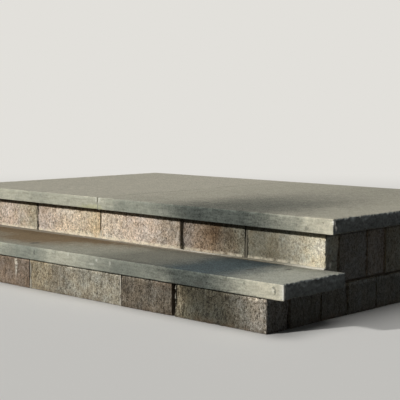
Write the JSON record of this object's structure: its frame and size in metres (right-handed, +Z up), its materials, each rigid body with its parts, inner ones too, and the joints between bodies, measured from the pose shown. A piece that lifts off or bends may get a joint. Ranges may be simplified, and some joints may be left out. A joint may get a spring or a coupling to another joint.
{
  "type": "outdoor stone entry steps",
  "caption": "Outdoor stone entry steps: thick bluestone slabs with rough pitched ends over split granite risers and side walls, built against a house wall.",
  "frame": {"origin": "on the ground, under the middle of the whole footprint", "axes": "+X to the right along the front, +Y from the front towards the house, +Z up"},
  "size_m": [2.1, 1.481, 0.348],
  "materials": {
    "bluestone": "matt",
    "granite": "rough",
    "mortar": "rough",
    "concrete": "rough"
  },
  "bodies": {
    "root": {"course_bed": "mortar", "foot_mortar": "mortar", "landing_bed": "mortar", "landing_joint": "mortar", "landing_slab_left": "bluestone", "landing_slab_right": "bluestone", "left_lower_stone_1": "granite", "left_lower_stone_2": "granite", "left_lower_stone_3": "granite", "left_lower_stone_4": "granite", "left_lower_stone_5": "granite", "left_lower_stone_6": "granite", "left_pointing": "mortar", "left_upper_stone_1": "granite", "left_upper_stone_2": "granite", "left_upper_stone_3": "granite", "left_upper_stone_4": "granite", "left_upper_stone_5": "granite", "lower_core": "concrete", "lower_riser_stone_1": "granite", "lower_riser_stone_2": "granite", "lower_riser_stone_3": "granite", "lower_riser_stone_4": "granite", "lower_riser_stone_5": "granite", "right_lower_stone_1": "granite", "right_lower_stone_2": "granite", "right_lower_stone_3": "granite", "right_lower_stone_4": "granite", "right_lower_stone_5": "granite", "right_lower_stone_6": "granite", "right_pointing": "mortar", "right_upper_stone_1": "granite", "right_upper_stone_2": "granite", "right_upper_stone_3": "granite", "right_upper_stone_4": "granite", "right_upper_stone_5": "granite", "riser_pointing": "mortar", "tread_slab": "bluestone", "upper_core": "concrete", "upper_riser_stone_1": "granite", "upper_riser_stone_2": "granite", "upper_riser_stone_3": "granite", "upper_riser_stone_4": "granite", "upper_riser_stone_5": "granite"}
  },
  "joints": []
}
